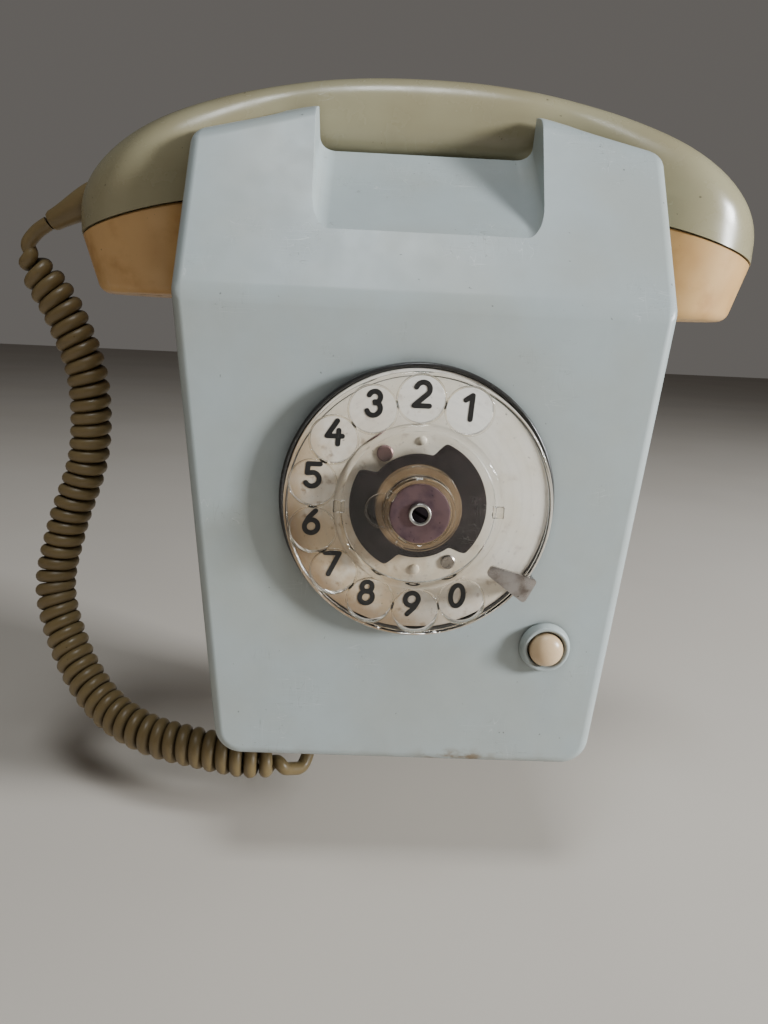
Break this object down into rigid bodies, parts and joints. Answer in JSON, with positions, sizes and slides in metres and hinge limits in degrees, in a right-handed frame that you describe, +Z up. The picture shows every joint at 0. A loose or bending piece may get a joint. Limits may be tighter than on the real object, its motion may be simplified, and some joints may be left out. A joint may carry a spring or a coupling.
{
  "type": "rotary wall telephone",
  "caption": "Wall telephone with a rotary dial, a push button, a handset lying across the top behind two horns, and a coiled cord.",
  "frame": {"origin": "where the dial's axis meets the wall, on the back face of the wall plate", "axes": "+X to the viewer's right, +Y into the wall, +Z up; the front faces -Y"},
  "size_m": [0.2437, 0.1072, 0.2355],
  "materials": {
    "case_plastic": "satin moulded ABS",
    "handset_plastic": "glossy, aged",
    "cream_plastic": "yellowed, semi-gloss",
    "button_plastic": "semi-gloss",
    "number_enamel": "aged cream, stained",
    "clear_plastic": "clear, scratched acrylic",
    "black_plastic": "satin black",
    "dark_metal": "dull charcoal",
    "clamp_metal": "purple-brown tarnish",
    "steel": "plated",
    "chrome": "polished, pitted",
    "brass": "satin",
    "plated_plate": "zinc plated",
    "cord_rubber": "olive, satin",
    "coil_wrap": "varnished winding tape",
    "board_laminate": "paper laminate",
    "capsule_metal": "spun",
    "can_metal": "satin",
    "insulator": "moulded phenolic"
  },
  "bodies": {
    "base": {"case_shell": "case_plastic", "button_bezel": "case_plastic", "number_plate": "number_enamel", "dial_base_ring": "black_plastic", "case_screw_left": "steel", "case_screw_right": "steel", "governor_drum": "steel", "dial_frame": "steel", "return_spring": "steel", "button_spring": "steel", "hook_spring": "steel", "hook_bracket": "steel", "ringer_bracket": "steel", "gong_screw_left": "steel", "gong_screw_right": "steel", "transformer": "steel", "finger_stop": "chrome", "gong_left": "brass", "gong_right": "brass", "wall_plate": "plated_plate", "coil_cord": "cord_rubber", "cord_grommet": "cord_rubber", "ringer_coil_left": "coil_wrap", "ringer_coil_right": "coil_wrap", "circuit_board": "board_laminate", "capacitor": "can_metal", "impulse_contacts": "insulator", "button_switch": "insulator", "hook_switch": "insulator", "terminal_block": "insulator"},
    "dial_rotor": {"finger_wheel": "clear_plastic", "wheel_carrier": "dark_metal", "clamp_disc": "clamp_metal", "centre_screw": "steel", "dial_shaft": "steel", "drive_gear": "brass"},
    "impulse_shaft": {"pinion": "brass", "impulse_cam": "insulator", "worm_wheel": "brass"},
    "governor": {"governor_spindle": "steel", "governor_weights": "brass"},
    "push_button": {"button_cap": "button_plastic"},
    "hook": {"hook_plunger": "black_plastic"},
    "ringer_clapper": {"clapper": "brass"},
    "handset": {"handset_shell": "handset_plastic", "mouthpiece_cap": "cream_plastic", "earpiece_cap": "cream_plastic", "transmitter_capsule": "capsule_metal", "receiver_capsule": "capsule_metal", "cord_boot": "cord_rubber"}
  },
  "joints": [
    {"name": "dial_turn", "type": "hinge", "parent": "base", "child": "dial_rotor", "pos_m": [0, -0.088, 0], "axis": [0, 1, 0], "range_deg": [0, 334]},
    {"name": "impulse_turn", "type": "hinge", "parent": "base", "child": "impulse_shaft", "pos_m": [-0.01697, -0.066, 0.01697], "axis": [0, 1, 0], "range_deg": [-2340, 0]},
    {"name": "governor_turn", "type": "hinge", "parent": "base", "child": "governor", "pos_m": [0, -0.055, 0.00627], "axis": [1, 0, 0], "range_deg": [0, 9360]},
    {"name": "button_press", "type": "slide", "parent": "base", "child": "push_button", "axis": [0, 1, 0], "range_m": [0, 0.003]},
    {"name": "handset_lift", "type": "slide", "parent": "base", "child": "handset", "axis": [0, 0, 1], "range_m": [0, 0.085], "deforming": ["coil_cord", "hook_spring"]},
    {"name": "hook_rise", "type": "slide", "parent": "base", "child": "hook", "axis": [0, 0, 1], "range_m": [0, 0.0051]},
    {"name": "clapper_swing", "type": "hinge", "parent": "base", "child": "ringer_clapper", "pos_m": [0, -0.052, 0.036], "axis": [0, 1, 0], "range_deg": [-3, 3]}
  ],
  "couplings": [
    {"joint": "impulse_turn", "follows": "dial_turn", "ratio": -7},
    {"joint": "governor_turn", "follows": "dial_turn", "ratio": 28},
    {"joint": "hook_rise", "follows": "handset_lift", "ratio": 0.06}
  ]
}
